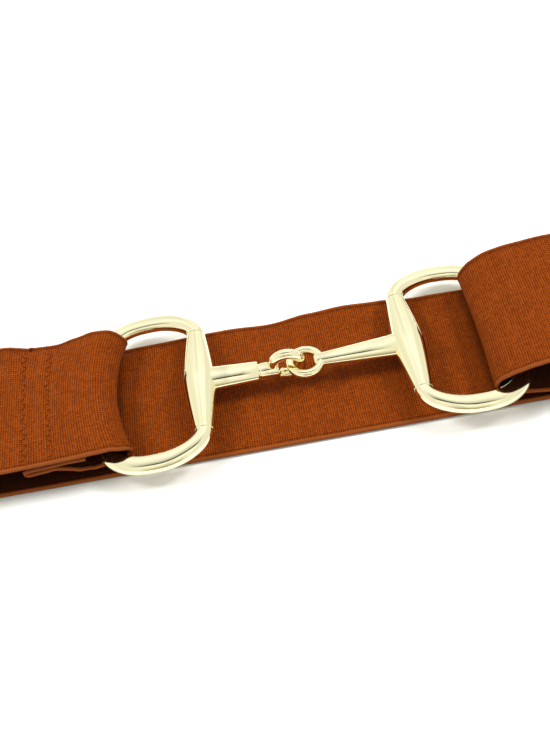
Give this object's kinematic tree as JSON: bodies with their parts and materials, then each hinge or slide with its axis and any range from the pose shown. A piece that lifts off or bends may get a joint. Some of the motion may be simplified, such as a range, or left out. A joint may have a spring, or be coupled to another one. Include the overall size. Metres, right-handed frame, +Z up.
{
  "type": "elastic stretch belt",
  "caption": "Wide elastic waist belt lying in a flattened loop, with a snaffle-bit clasp: D rings in spindle barrels, joined by a hook and an eye.",
  "frame": {"origin": "middle of the belt's bounding box, on the surface that it lies on", "axes": "+X along the belt from the hook's side to the eye's side, +Y across the webbing, away from the camera, +Z up"},
  "size_m": [0.35, 0.0619, 0.0201],
  "materials": {
    "elastic": "ribbed elastic webbing in a rust brown",
    "gold_metal": "polished pale gold plate"
  },
  "bodies": {
    "root": {"elastic_webbing": "elastic", "hook_bar": "gold_metal", "hook_side_ring": "gold_metal", "eye_bar": "gold_metal", "eye_side_ring": "gold_metal"}
  },
  "joints": []
}
